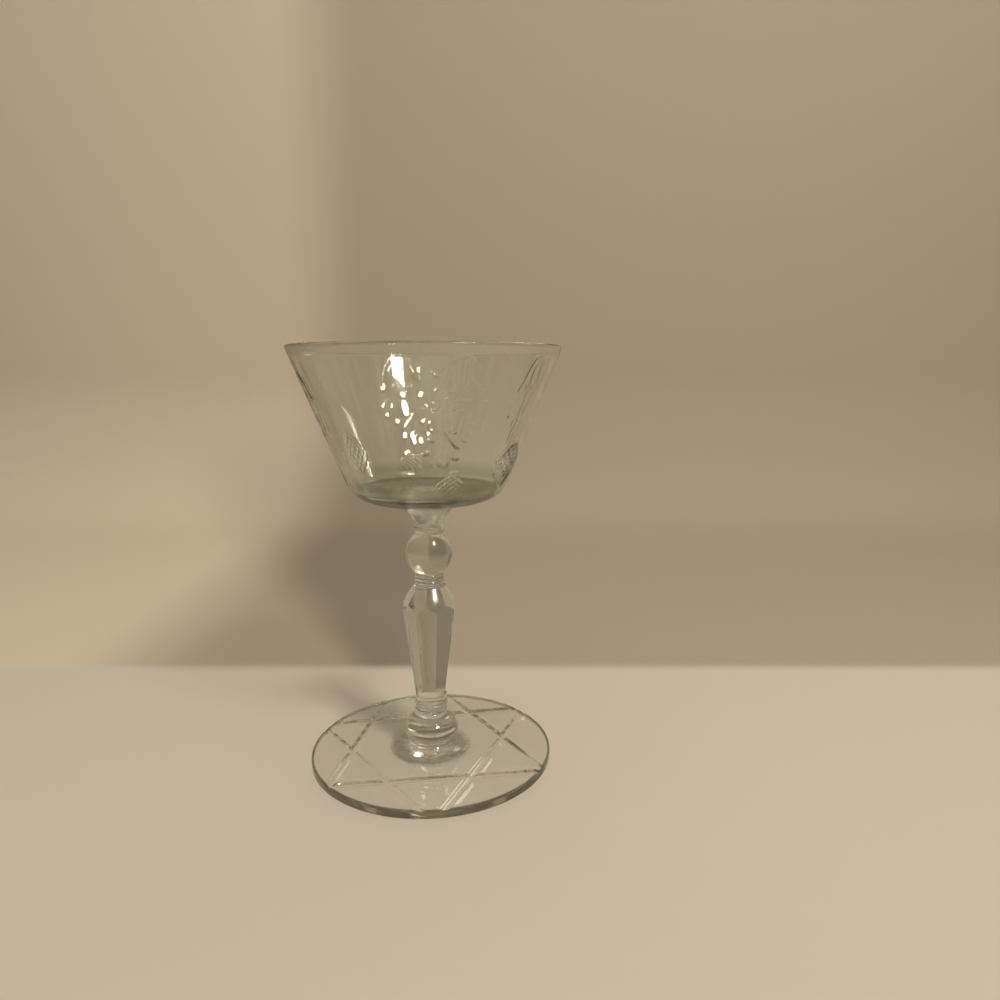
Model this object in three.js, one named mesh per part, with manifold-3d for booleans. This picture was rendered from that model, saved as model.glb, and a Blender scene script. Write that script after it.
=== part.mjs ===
// A stemmed sherbet glass: a cut conical bowl, a pressed stem with a ball knop and a faceted
// baluster, and a disc foot with a six-pointed star. Millimetres, +Z up. The origin is the
// centre of the foot's underside, and -Y is the front of the glass.

import * as THREE from 'three';
import { mergeVertices } from 'three/addons/utils/BufferGeometryUtils.js';
import Module from 'manifold-3d';

// Foot
const FOOT_RADIUS = 37.4;
const FOOT_THICKNESS = 2.6;
const FOOT_EDGE_ROUND = 0.5;
const BEARING_RING_WIDTH = 6;
const FOOT_HOLLOW_DEPTH = 0.7;

// Star cut into the foot's top by hand: each line is square to its direction, in degrees, and
// passes the middle of the foot at its offset
const STAR_LINES = [
  { direction: -82.6, offset: 21.1 },
  { direction: -21, offset: 19.3 },
  { direction: 32.3, offset: 20.8 },
  { direction: 100.9, offset: 19.5 },
  { direction: 170.9, offset: 23.3 },
  { direction: 217.8, offset: 22.6 },
];
const STAR_GROOVE_WIDTH = 3;
const STAR_GROOVE_DEPTH = 0.45;

// Boss at the lower end of the stem: a cushion on a flared skirt
const SKIRT_RADIUS = 12;
const SKIRT_HEIGHT = 2.8;
const SKIRT_LIP = 0.2;
const CUSHION_RADIUS = 8.5;
const CUSHION_HEIGHT = 7.4;
const BELLY_HEIGHT = 2.8;
const WAIST_DEPTH = 1.9;

// Ringed collar under the baluster
const COLLAR_RADIUS = 4.85;
const COLLAR_BEADS = 3;
const COLLAR_BEAD_PITCH = 1.65;
const COLLAR_BEAD_PROUD = 0.35;
const COLLAR_BAND_HEIGHT = 2.15;

// How far the facets of the stem are turned from the front, in degrees
const STEM_TURN = 20;

// Faceted baluster; the radii are to its corners
const BALUSTER_SIDES = 8;
const BALUSTER_LOW_RADIUS = 4.8;
const BALUSTER_WIDE_RADIUS = 8.6;
const BALUSTER_TOP_RADIUS = 5.1;
const BALUSTER_SHAFT_HEIGHT = 28.5;
const BALUSTER_SHOULDER_HEIGHT = 6.6;

// Necks and ball knop
const NECK_RADIUS = 4.1;
const LOWER_NECK_RINGS = 4;
const LOWER_RING_PITCH = 1;
const LOWER_RING_PROUD = 0.4;
const BALL_RADIUS = 7.15;
const BALL_HEIGHT = 12.4;
const UPPER_RING_HEIGHT = 2.2;
const UPPER_RING_PROUD = 0.6;
const UPPER_NECK_HEIGHT = 1.2;

// Faceted capital that carries the bowl; the radius is to its corners
const CAPITAL_RADIUS = 8.3;
const CAPITAL_HEIGHT = 5.2;
const CAPITAL_SIDES = 16;

// Bowl
const BOWL_HEIGHT = 47;
const RIM_RADIUS = 39.7;
const BOWL_BASE_RADIUS = 23.8;
const BOWL_BASE_HEIGHT = 6.6;
const UNDERSIDE_RISE = 2.75;
const UNDERSIDE_ROUND = 10;
const INSIDE_ROUND = 3;
const SEAT_MARGIN = 0.5;
const RIM_WALL = 1.5;
const BASE_WALL = 2.3;
const FLOOR_THICKNESS = 4.9;

// Cut ornament: equal pendants round the bowl. Each cut has its size, how far down from the rim
// it lies and, where it isn't upright on the pendant's middle, its place across and its lean
const PENDANTS = 4;
const PENDANT_TURN = -70.5;
const FLUTE = { length: 13.6, width: 4.6, depth: 0.3, drop: 7.7 };
const LEAF = { length: 11.8, width: 2.8, depth: 0.3, drop: 7.6, across: 3.8, lean: 26 };
const LEAF_TIPS = [
  { length: 2.8, width: 2.2, depth: 0.25, drop: 7.6, across: -6.3 },
  { length: 3.4, width: 2, depth: 0.25, drop: 13.4, across: 6.6, lean: 20 },
];
const NOTCH = { length: 2.2, width: 0.8, depth: 0.25, drop: 13.6, lines: 6, pitch: 1.1 };
const HEAD = { length: 2.6, width: 2.6, depth: 0.25, drop: 16 };
const PETAL = { length: 9, width: 6, depth: 0.3, drop: 20.5, across: 5.2, lean: 8 };
const STYLE = { length: 6.8, width: 3, depth: 0.35, drop: 20.4, across: -0.3, lean: -8 };
const TIE = { length: 9.4, width: 1.9, depth: 0.35, drop: 24.2, across: -1, lean: 36 };
const TAIL = { length: 5.6, width: 2.4, depth: 0.35, drop: 30, across: -2.1, lean: -8 };
const BEADS = [
  { length: 3.1, width: 2.1, depth: 0.3, drop: 29, across: 0.7 },
  { length: 3.1, width: 2.1, depth: 0.3, drop: 30.7, across: -4.6 },
];
const DOT = { length: 2.6, width: 2.6, depth: 0.3, drop: 34.7, across: 0.6 };
const HATCH = { length: 5.6, width: 1.1, depth: 0.4, drop: 38.4, lean: 52, lines: 3, pitch: 1.9 };

// Hatched diamonds cut between the pendants, at these turns from the +X axis in degrees
const FIELD_TURNS = [-27, 160];
const FIELD = { length: 8.2, width: 1.4, depth: 0.45, drop: 33.2, lean: 48, lines: 6, pitch: 2 };

// How finely round forms are divided
const BOWL_FACETS = 64;
const FOOT_FACETS = 72;
const STEM_FACETS = 32;
const ROUND_STEPS = 8;
const SMALL_STEPS = 4;
const EDGE_STEPS = 2;
const CUT_STEPS = 4;
const MITRE_SIDES = 4;
const OLIVE_SIDES = 6;
const GROOVE_SIDES = 20;

// Neighbouring forms of the stem run this far into each other before they are joined
const FUSED_DEPTH = 0.5;

// Levels, from the table up
const BOSS_LEVEL = FOOT_THICKNESS;
const COLLAR_LEVEL = BOSS_LEVEL + SKIRT_HEIGHT + CUSHION_HEIGHT;
const BALUSTER_LEVEL = COLLAR_LEVEL + COLLAR_BEADS * COLLAR_BEAD_PITCH + COLLAR_BAND_HEIGHT;
const SHOULDER_LEVEL = BALUSTER_LEVEL + BALUSTER_SHAFT_HEIGHT;
const LOWER_NECK_LEVEL = SHOULDER_LEVEL + BALUSTER_SHOULDER_HEIGHT;
const BALL_LEVEL = LOWER_NECK_LEVEL + LOWER_NECK_RINGS * LOWER_RING_PITCH;
const UPPER_RING_LEVEL = BALL_LEVEL + BALL_HEIGHT;
const UPPER_NECK_LEVEL = UPPER_RING_LEVEL + UPPER_RING_HEIGHT;
const CAPITAL_LEVEL = UPPER_NECK_LEVEL + UPPER_NECK_HEIGHT;
const BOWL_LEVEL = CAPITAL_LEVEL + CAPITAL_HEIGHT;
const BOWL_BASE_LEVEL = BOWL_LEVEL + BOWL_BASE_HEIGHT;
const RIM_LEVEL = BOWL_LEVEL + BOWL_HEIGHT;
const WALL_TOP_LEVEL = RIM_LEVEL - RIM_WALL / 2;

const wasm = await Module();
wasm.setup();

const radians = THREE.MathUtils.degToRad;
const point = (r, z) => new THREE.Vector2(r, z);

// A closed solid from a three.js geometry
function toSolid(geometry) {
  geometry.deleteAttribute('normal');
  geometry.deleteAttribute('uv');
  const merged = mergeVertices(geometry);
  const corners = merged.index.array;
  const triangles = [];
  for (let i = 0; i < corners.length; i += 3) {
    const triangle = [...corners.slice(i, i + 3)];
    if (new Set(triangle).size === 3) triangles.push(...triangle);
  }
  const mesh = new wasm.Mesh({
    numProp: 3,
    vertProperties: new Float32Array(merged.attributes.position.array),
    triVerts: new Uint32Array(triangles),
  });
  return new wasm.Manifold(mesh);
}

function toGeometry(solid) {
  const mesh = solid.getMesh();
  const geometry = new THREE.BufferGeometry();
  geometry.setAttribute('position', new THREE.BufferAttribute(mesh.vertProperties, 3));
  geometry.setIndex(new THREE.BufferAttribute(mesh.triVerts, 1));
  geometry.computeVertexNormals();
  return geometry;
}

// A body of revolution about Z from (radius, height) points that start and end on the axis
function turned(profile, facets) {
  const geometry = new THREE.LatheGeometry(profile, facets);
  geometry.rotateX(Math.PI / 2);
  return toSolid(geometry);
}

function joined(solids) {
  return solids.reduce((all, solid) => all.add(solid));
}

// Points of an arc or ellipse about a centre, from one angle to another
function arc(centre, width, height, from, to, steps) {
  const points = [];
  for (let i = 0; i <= steps; i++) {
    const angle = from + ((to - from) * i) / steps;
    points.push(point(centre.x + width * Math.cos(angle), centre.y + height * Math.sin(angle)));
  }
  return points;
}

// The arc that rounds the corner between two straight lines of a profile
function rounded(before, corner, after, radius) {
  const back = before.clone().sub(corner).normalize();
  const ahead = after.clone().sub(corner).normalize();
  const half = Math.acos(back.dot(ahead)) / 2;
  const middle = back.clone().add(ahead).normalize();
  const centre = corner.clone().addScaledVector(middle, radius / Math.sin(half));
  const start = corner.clone().addScaledVector(back, radius / Math.tan(half)).sub(centre);
  const end = corner.clone().addScaledVector(ahead, radius / Math.tan(half)).sub(centre);
  const from = start.angle();
  const sweep = Math.atan2(start.cross(end), start.dot(end));
  return arc(centre, radius, radius, from, from + sweep, SMALL_STEPS);
}

// Half-round beads stacked up the side of a cylinder
function beads(count, pitch, radius, proud, level) {
  const points = [];
  for (let i = 0; i < count; i++) {
    const middle = point(radius, level + (i + 0.5) * pitch);
    const bead = arc(middle, proud, pitch / 2, -Math.PI / 2, Math.PI / 2, SMALL_STEPS);
    points.push(...(i ? bead.slice(1) : bead));
  }
  return points;
}

function makeFoot() {
  const hollowRadius = FOOT_RADIUS - FOOT_EDGE_ROUND - BEARING_RING_WIDTH;
  const domeRadius = (hollowRadius ** 2 + FOOT_HOLLOW_DEPTH ** 2) / (2 * FOOT_HOLLOW_DEPTH);
  const domeCentre = point(0, FOOT_HOLLOW_DEPTH - domeRadius);
  const domeEdge = Math.acos(hollowRadius / domeRadius);
  const round = FOOT_EDGE_ROUND;
  const lowEdge = point(FOOT_RADIUS - round, round);
  const highEdge = point(FOOT_RADIUS - round, FOOT_THICKNESS - round);
  const foot = turned([
    ...arc(domeCentre, domeRadius, domeRadius, Math.PI / 2, domeEdge, SMALL_STEPS),
    ...arc(lowEdge, round, round, -Math.PI / 2, 0, EDGE_STEPS),
    ...arc(highEdge, round, round, 0, Math.PI / 2, EDGE_STEPS),
    point(0, FOOT_THICKNESS),
  ], FOOT_FACETS);
  return foot.subtract(starGrooves());
}

// Straight hollow grooves across the foot
function starGrooves() {
  const radius = STAR_GROOVE_WIDTH ** 2 / (8 * STAR_GROOVE_DEPTH) + STAR_GROOVE_DEPTH / 2;
  const level = FOOT_THICKNESS - STAR_GROOVE_DEPTH + radius;
  const grooves = STAR_LINES.map((line) => {
    const bar = new THREE.CylinderGeometry(radius, radius, 2 * FOOT_RADIUS, GROOVE_SIDES);
    bar.translate(line.offset, 0, level);
    bar.rotateZ(radians(line.direction));
    return toSolid(bar);
  });
  return joined(grooves);
}

function makeStem() {
  return joined([makeCapital(), makeKnop(), makeBaluster(), makeBoss()]);
}

// Cup-shaped capital, narrow at the neck and wide where it meets the bowl
function makeCapital() {
  const capital = new THREE.CylinderGeometry(CAPITAL_RADIUS, NECK_RADIUS, CAPITAL_HEIGHT, CAPITAL_SIDES);
  capital.rotateX(Math.PI / 2);
  capital.rotateZ(radians(STEM_TURN));
  capital.translate(0, 0, CAPITAL_LEVEL + CAPITAL_HEIGHT / 2);
  return toSolid(capital);
}

// Ringed neck, ball knop and upper neck with its ring, in one turned form
function makeKnop() {
  const middle = BALL_LEVEL + BALL_HEIGHT / 2;
  const ballEnd = Math.acos(NECK_RADIUS / BALL_RADIUS);
  const ballReach = BALL_HEIGHT / 2 / Math.sin(ballEnd);
  return turned([
    point(0, LOWER_NECK_LEVEL - FUSED_DEPTH),
    point(NECK_RADIUS, LOWER_NECK_LEVEL - FUSED_DEPTH),
    ...beads(LOWER_NECK_RINGS, LOWER_RING_PITCH, NECK_RADIUS, LOWER_RING_PROUD, LOWER_NECK_LEVEL),
    ...arc(point(0, middle), BALL_RADIUS, ballReach, -ballEnd, ballEnd, ROUND_STEPS).slice(1),
    ...beads(1, UPPER_RING_HEIGHT, NECK_RADIUS, UPPER_RING_PROUD, UPPER_RING_LEVEL).slice(1),
    point(NECK_RADIUS, CAPITAL_LEVEL + FUSED_DEPTH),
    point(0, CAPITAL_LEVEL + FUSED_DEPTH),
  ], STEM_FACETS);
}

// The shaft widens upward; the shoulder narrows upward and is turned by half a side, so that
// its facets end in points on the corners of the shaft
function makeBaluster() {
  const halfSide = Math.PI / BALUSTER_SIDES;
  const flare = (BALUSTER_WIDE_RADIUS - BALUSTER_LOW_RADIUS) / BALUSTER_SHAFT_HEIGHT;
  const shaftFoot = BALUSTER_LOW_RADIUS - flare * FUSED_DEPTH;
  const shaftHead = BALUSTER_WIDE_RADIUS + flare * BALUSTER_SHOULDER_HEIGHT;
  const shoulderWide = BALUSTER_WIDE_RADIUS / Math.cos(halfSide);
  const narrowing = (shoulderWide - BALUSTER_TOP_RADIUS) / BALUSTER_SHOULDER_HEIGHT;
  const shoulderFoot = shoulderWide + narrowing * (BALUSTER_SHAFT_HEIGHT + FUSED_DEPTH);
  const shaft = facetedFrustum(shaftFoot, shaftHead, 0);
  const shoulder = facetedFrustum(shoulderFoot, BALUSTER_TOP_RADIUS, halfSide);
  return shaft.intersect(shoulder);
}

function facetedFrustum(lowRadius, highRadius, turn) {
  const low = BALUSTER_LEVEL - FUSED_DEPTH;
  const height = LOWER_NECK_LEVEL - low;
  const frustum = new THREE.CylinderGeometry(highRadius, lowRadius, height, BALUSTER_SIDES);
  frustum.rotateX(Math.PI / 2);
  frustum.rotateZ(turn + radians(STEM_TURN));
  frustum.translate(0, 0, low + height / 2);
  return toSolid(frustum);
}

// Ringed collar over the cushion and skirt of the boss
function makeBoss() {
  const waistLevel = BOSS_LEVEL + SKIRT_HEIGHT;
  const skirtCentre = point(SKIRT_RADIUS, waistLevel);
  const skirt = point(SKIRT_RADIUS - CUSHION_RADIUS + WAIST_DEPTH, SKIRT_HEIGHT - SKIRT_LIP);
  const belly = point(COLLAR_RADIUS, waistLevel + BELLY_HEIGHT);
  const bulge = CUSHION_RADIUS - COLLAR_RADIUS;
  const bellyLow = Math.acos(1 - WAIST_DEPTH / bulge);
  const bellyReach = BELLY_HEIGHT / Math.sin(bellyLow);
  const shoulder = CUSHION_HEIGHT - BELLY_HEIGHT;
  return turned([
    point(0, BOSS_LEVEL),
    point(SKIRT_RADIUS, BOSS_LEVEL),
    ...arc(skirtCentre, skirt.x, skirt.y, (3 * Math.PI) / 2, Math.PI, SMALL_STEPS),
    ...arc(belly, bulge, bellyReach, -bellyLow, 0, SMALL_STEPS),
    ...arc(belly, bulge, shoulder, 0, Math.PI / 2, SMALL_STEPS).slice(1),
    ...beads(COLLAR_BEADS, COLLAR_BEAD_PITCH, COLLAR_RADIUS, COLLAR_BEAD_PROUD, COLLAR_LEVEL).slice(1),
    point(COLLAR_RADIUS, BALUSTER_LEVEL),
    point(0, BALUSTER_LEVEL),
  ], STEM_FACETS);
}

function makeBowl() {
  const seat = point(CAPITAL_RADIUS + SEAT_MARGIN, BOWL_LEVEL);
  const corner = outsideAt(BOWL_LEVEL + UNDERSIDE_RISE);
  const wallTop = outsideAt(WALL_TOP_LEVEL);
  const lip = point(RIM_RADIUS - RIM_WALL / 2, WALL_TOP_LEVEL);
  const insideTop = insideAt(WALL_TOP_LEVEL);
  const insideCorner = insideAt(BOWL_LEVEL + FLOOR_THICKNESS);
  const floorMiddle = point(0, insideCorner.y);
  const bowl = turned([
    point(0, BOWL_LEVEL),
    seat,
    ...rounded(seat, corner, wallTop, UNDERSIDE_ROUND),
    ...arc(lip, RIM_WALL / 2, RIM_WALL / 2, 0, Math.PI, SMALL_STEPS),
    ...rounded(insideTop, insideCorner, floorMiddle, INSIDE_ROUND),
    floorMiddle,
  ], BOWL_FACETS);
  return bowl.subtract(ornamentCuts());
}

// Points of the bowl's straight outer and inner walls at a level
function outsideAt(level) {
  return wallAt(level, BOWL_BASE_RADIUS, RIM_RADIUS);
}

function insideAt(level) {
  return wallAt(level, BOWL_BASE_RADIUS - BASE_WALL, RIM_RADIUS - RIM_WALL);
}

function wallAt(level, baseRadius, topRadius) {
  const share = (level - BOWL_BASE_LEVEL) / (WALL_TOP_LEVEL - BOWL_BASE_LEVEL);
  return point(THREE.MathUtils.lerp(baseRadius, topRadius, share), level);
}

// A long body, pointed at both ends, along Z: its section is a diamond or an oval that grows
// to the given width along Y and to the depth on either side along X
function spindle(length, width, depth, sides) {
  const profile = [];
  for (let i = 0; i <= CUT_STEPS; i++) {
    const along = (2 * i) / CUT_STEPS - 1;
    profile.push(point(i % CUT_STEPS ? 1 - along ** 2 : 0, along));
  }
  const geometry = new THREE.LatheGeometry(profile, sides);
  geometry.rotateX(Math.PI / 2);
  geometry.scale(depth, width / 2, length / 2);
  return geometry;
}

// One cut into the bowl's wall: across is measured to the right of the pendant's middle
function wallCut(cut, sides, turn) {
  const { across = 0, lean = 0 } = cut;
  const place = outsideAt(RIM_LEVEL - cut.drop);
  const wallLean = Math.atan2(RIM_RADIUS - BOWL_BASE_RADIUS, WALL_TOP_LEVEL - BOWL_BASE_LEVEL);
  const tool = spindle(cut.length, cut.width, cut.depth, sides);
  tool.rotateX(radians(lean));
  tool.rotateY(wallLean);
  tool.translate(place.x, 0, place.y);
  tool.rotateZ(turn + across / place.x);
  return toSolid(tool);
}

// The same cut on both sides of the pendant's middle
function cutPair(cut, sides, turn) {
  const mirrored = { ...cut, across: -cut.across, lean: -cut.lean };
  return [cut, mirrored].map((one) => wallCut(one, sides, turn));
}

// Where the equal cuts of a row lie, counted from the row's middle
function rowPlaces(row) {
  return Array.from({ length: row.lines }, (_, i) => (i - (row.lines - 1) / 2) * row.pitch);
}

function notchCuts(turn) {
  return rowPlaces(NOTCH).map((across) => wallCut({ ...NOTCH, across }, MITRE_SIDES, turn));
}

// Two sets of parallel strokes that cross in a diamond
function crossedCuts(strokes, turn) {
  const cuts = [];
  for (const lean of [strokes.lean, -strokes.lean]) {
    for (const step of rowPlaces(strokes)) {
      const across = step * Math.cos(radians(lean));
      const drop = strokes.drop - step * Math.sin(radians(lean));
      cuts.push(wallCut({ ...strokes, across, drop, lean }, MITRE_SIDES, turn));
    }
  }
  return cuts;
}

// A fringed flute between two leaves hangs over a flower, its tied tail, beads and a diamond
function pendantCuts(turn) {
  const olives = [FLUTE, ...LEAF_TIPS, HEAD, STYLE, TIE, TAIL, ...BEADS, DOT];
  return [
    ...olives.map((cut) => wallCut(cut, OLIVE_SIDES, turn)),
    ...cutPair(LEAF, OLIVE_SIDES, turn),
    ...cutPair(PETAL, OLIVE_SIDES, turn),
    ...notchCuts(turn),
    ...crossedCuts(HATCH, turn),
  ];
}

function ornamentCuts() {
  const fields = FIELD_TURNS.map((turn) => crossedCuts(FIELD, radians(turn)));
  const pendants = [];
  for (let i = 0; i < PENDANTS; i++) {
    pendants.push(pendantCuts(radians(PENDANT_TURN) + (2 * Math.PI * i) / PENDANTS));
  }
  return joined([...fields, ...pendants].flat());
}

function glassPiece(name, solid, colour) {
  const material = new THREE.MeshStandardMaterial({
    color: colour,
    roughness: 0.04,
    metalness: 0,
    transparent: true,
    opacity: 0.35,
  });
  const piece = new THREE.Mesh(toGeometry(solid), material);
  piece.name = name;
  return piece;
}

const glass = new THREE.Group();
glass.add(glassPiece('foot', makeFoot(), 0xdbe3d6));
glass.add(glassPiece('stem', makeStem(), 0xe3e8de));
glass.add(glassPiece('bowl', makeBowl(), 0xe6ebe3));

export default glass;
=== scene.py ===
"""The looks of a clear stemmed sherbet glass: a cut conical bowl, a pressed stem with a ball knop
and a faceted baluster, and a disc foot with a six-pointed star. The glass is given in millimetres
and degrees, the room round it in metres."""

from collections import namedtuple
import math

import bpy
import numpy as np
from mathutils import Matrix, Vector


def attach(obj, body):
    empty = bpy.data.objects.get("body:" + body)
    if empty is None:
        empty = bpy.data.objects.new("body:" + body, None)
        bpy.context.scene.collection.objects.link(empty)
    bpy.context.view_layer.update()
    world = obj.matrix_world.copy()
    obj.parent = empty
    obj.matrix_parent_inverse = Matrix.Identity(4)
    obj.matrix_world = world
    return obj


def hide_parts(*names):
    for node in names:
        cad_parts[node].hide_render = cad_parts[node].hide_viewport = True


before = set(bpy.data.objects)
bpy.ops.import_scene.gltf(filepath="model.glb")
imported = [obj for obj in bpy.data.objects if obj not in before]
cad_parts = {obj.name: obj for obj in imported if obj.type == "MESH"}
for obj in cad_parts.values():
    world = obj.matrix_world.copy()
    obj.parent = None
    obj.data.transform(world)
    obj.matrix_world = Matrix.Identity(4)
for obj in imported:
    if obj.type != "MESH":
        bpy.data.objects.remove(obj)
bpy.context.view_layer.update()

MM = 0.001
GLASS, WELD = 0, 1

# Foot: each line of its star is square to a direction and passes the middle at an offset
FOOT_RADIUS, FOOT_THICKNESS, FOOT_EDGE_ROUND = 37.4, 2.6, 0.5
BEARING_RING_WIDTH, FOOT_HOLLOW_DEPTH = 6.0, 0.7
STAR_GROOVE_WIDTH, STAR_GROOVE_DEPTH = 3.6, 0.45
STAR_LINES = [(-82.6, 21.1), (-21.0, 19.3), (32.3, 20.8), (100.9, 19.5), (170.9, 23.3), (217.8, 22.6)]

# Boss, collar and baluster of the stem
SKIRT_RADIUS, SKIRT_HEIGHT, SKIRT_LIP = 12.0, 2.8, 0.2
CUSHION_RADIUS, CUSHION_HEIGHT, BELLY_HEIGHT, WAIST_DEPTH = 8.5, 7.4, 2.8, 1.9
COLLAR_RADIUS, COLLAR_BEADS, COLLAR_BEAD_PITCH = 4.85, 3, 1.65
COLLAR_BEAD_PROUD, COLLAR_BAND_HEIGHT = 0.35, 2.15
BALUSTER_SIDES, BALUSTER_TURN = 8, 20.0
BALUSTER_LOW_RADIUS, BALUSTER_WIDE_RADIUS, BALUSTER_TOP_RADIUS = 4.8, 8.6, 5.1
BALUSTER_SHAFT_HEIGHT, BALUSTER_SHOULDER_HEIGHT, SHOULDER_BULGE = 28.5, 6.6, 0.2

# Necks, ball knop and capital
NECK_RADIUS, LOWER_NECK_RINGS, LOWER_RING_PITCH, LOWER_RING_PROUD = 4.1, 4, 1.0, 0.4
BALL_RADIUS, BALL_HEIGHT = 7.15, 12.4
UPPER_RING_HEIGHT, UPPER_RING_PROUD, UPPER_NECK_HEIGHT = 2.2, 0.6, 1.2
CAPITAL_RADIUS, CAPITAL_HEIGHT, CAPITAL_SIDES = 8.3, 5.2, 16

# Bowl
BOWL_HEIGHT, RIM_RADIUS, BOWL_BASE_RADIUS, BOWL_BASE_HEIGHT = 47.0, 39.7, 23.8, 6.6
UNDERSIDE_RISE, UNDERSIDE_ROUND, INSIDE_ROUND, SEAT_MARGIN = 2.75, 10.0, 3.0, 0.5
RIM_WALL, BASE_WALL, FLOOR_THICKNESS = 1.5, 2.3, 4.9

# Cut ornament. A cut lies at a drop below the rim and a place across its motif; the floor of a
# facet falls along and across by angles
LINE, OLIVE, FACET = "line", "olive", "facet"
Cut = namedtuple("Cut", "kind length width depth drop across lean fall_along fall_across",
                 defaults=(0.0, 0.0, 0.0, 0.0))

# The same pendant four times round the bowl
PENDANTS, PENDANT_TURN, PENDANT_HALF_WIDTH, PENDANT_MIDDLE = 4, -70.5, 9.5, 20.0
PENDANT_TURNS = [PENDANT_TURN + 360 * i / PENDANTS for i in range(PENDANTS)]
CUTS = [
    Cut(OLIVE, 13.6, 4.6, 0.25, 7.7),
    Cut(OLIVE, 11.8, 2.8, 0.30, 7.6, 3.8, 26.0),
    Cut(OLIVE, 11.8, 2.8, 0.30, 7.6, -3.8, -26.0),
    Cut(FACET, 2.8, 2.2, 0.20, 7.6, -6.3, 0.0, -1.8, 5.5),
    Cut(FACET, 3.4, 2.0, 0.18, 13.4, 6.6, 20.0, -2.2, -5.1),
    Cut(FACET, 2.6, 2.6, 0.20, 16.0, 0.0, 0.0, -2.4, 0.6),
    Cut(FACET, 6.8, 3.0, 0.26, 20.4, -0.3, -8.0, -2.8, 0.8),
    Cut(FACET, 9.4, 1.9, 0.30, 24.2, -1.0, 36.0, -3.1, 1.4),
    Cut(FACET, 5.6, 2.4, 0.28, 30.0, -2.1, -8.0, -3.7, 2.4),
    Cut(FACET, 3.1, 2.1, 0.22, 29.0, 0.7, 0.0, -3.5),
    Cut(FACET, 3.1, 2.1, 0.22, 30.7, -4.6, 0.0, -3.9, 4.6),
    Cut(FACET, 2.6, 2.6, 0.20, 34.7, 0.6, 0.0, -4.1),
    Cut(FACET, 2.2, 1.9, 0.17, 19.5, 4.5, 0.0, -2.7, -3.5),
    Cut(FACET, 2.2, 1.9, 0.17, 22.2, 6.3, 0.0, -3.1, -5.3),
    Cut(FACET, 2.6, 2.2, 0.17, 24.4, 2.8, 0.0, -3.1, -2.2),
    Cut(FACET, 2.6, 2.2, 0.17, 15.8, -6.0, 0.0, -2.6, 5.7),
    Cut(FACET, 2.0, 2.0, 0.17, 24.5, -6.1, 0.0, -3.5, 6.3),
    Cut(FACET, 1.8, 1.8, 0.17, 28.1, -7.4, 0.0, -3.9, 7.9),
]
NOTCH, NOTCHES, NOTCH_PITCH = Cut(FACET, 2.2, 0.8, 0.18, 13.6, fall_along=-2.2), 6, 1.1
PETAL = Cut(OLIVE, 9.0, 6.0, 0.16, 20.5, 5.2, 8.0)
HATCH, HATCH_LINES, HATCH_PITCH = Cut(LINE, 5.6, 1.1, 0.45, 38.4, lean=52.0), 6, 1.1

# Hatched diamonds between the pendants
FIELD_TURNS, FIELD_HALF_WIDTH = (-27.0, 160.0), 7.4
FIELD, FIELD_LINES, FIELD_PITCH = Cut(LINE, 8.8, 1.8, 0.70, 33.2, lean=48.0), 6, 1.9

# How finely the forms are divided
PENDANT_COLUMNS, FIELD_COLUMNS, PLAIN_COLUMN_TURN = 64, 48, 4.0
WALL_RINGS, INSIDE_RINGS = 152, 14
UNDERSIDE_STEPS, INSIDE_STEPS, LIP_STEPS = 16, 14, 12
STEM_COLUMNS_PER_FACET, SHAFT_RINGS, SHOULDER_RINGS = 10, 20, 10
SKIRT_STEPS, BELLY_STEPS, CUSHION_STEPS, BALL_STEPS, BEAD_STEPS = 16, 10, 14, 32, 8
FOOT_COLUMNS, STAR_RINGS, PLAIN_RINGS, HOLLOW_STEPS, EDGE_STEPS = 520, 146, 6, 8, 6

# Levels from the foot up
BOSS_LEVEL = FOOT_THICKNESS
WAIST_LEVEL = BOSS_LEVEL + SKIRT_HEIGHT
COLLAR_LEVEL = WAIST_LEVEL + CUSHION_HEIGHT
BAND_LEVEL = COLLAR_LEVEL + COLLAR_BEADS * COLLAR_BEAD_PITCH
BALUSTER_LEVEL = BAND_LEVEL + COLLAR_BAND_HEIGHT
SHOULDER_LEVEL = BALUSTER_LEVEL + BALUSTER_SHAFT_HEIGHT
LOWER_NECK_LEVEL = SHOULDER_LEVEL + BALUSTER_SHOULDER_HEIGHT
BALL_LEVEL = LOWER_NECK_LEVEL + LOWER_NECK_RINGS * LOWER_RING_PITCH
UPPER_RING_LEVEL = BALL_LEVEL + BALL_HEIGHT
UPPER_NECK_LEVEL = UPPER_RING_LEVEL + UPPER_RING_HEIGHT
CAPITAL_LEVEL = UPPER_NECK_LEVEL + UPPER_NECK_HEIGHT
BOWL_LEVEL = CAPITAL_LEVEL + CAPITAL_HEIGHT
BOWL_BASE_LEVEL = BOWL_LEVEL + BOWL_BASE_HEIGHT
RIM_LEVEL = BOWL_LEVEL + BOWL_HEIGHT
WALL_TOP_LEVEL = RIM_LEVEL - RIM_WALL / 2

# Glass: tones at levels, some of them painted shade, what light keeps on its way through, and the waves
# of its surface. The noises are given by scale and detail
CLEAR, PALE, SMOKE = (0.95, 0.97, 0.935), (0.93, 0.95, 0.905), (0.78, 0.80, 0.745)
GREEN, DUSK, DARK_LINE_SHADE = (0.80, 0.84, 0.73), (0.66, 0.70, 0.59), (0.09, 0.095, 0.055)
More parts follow.
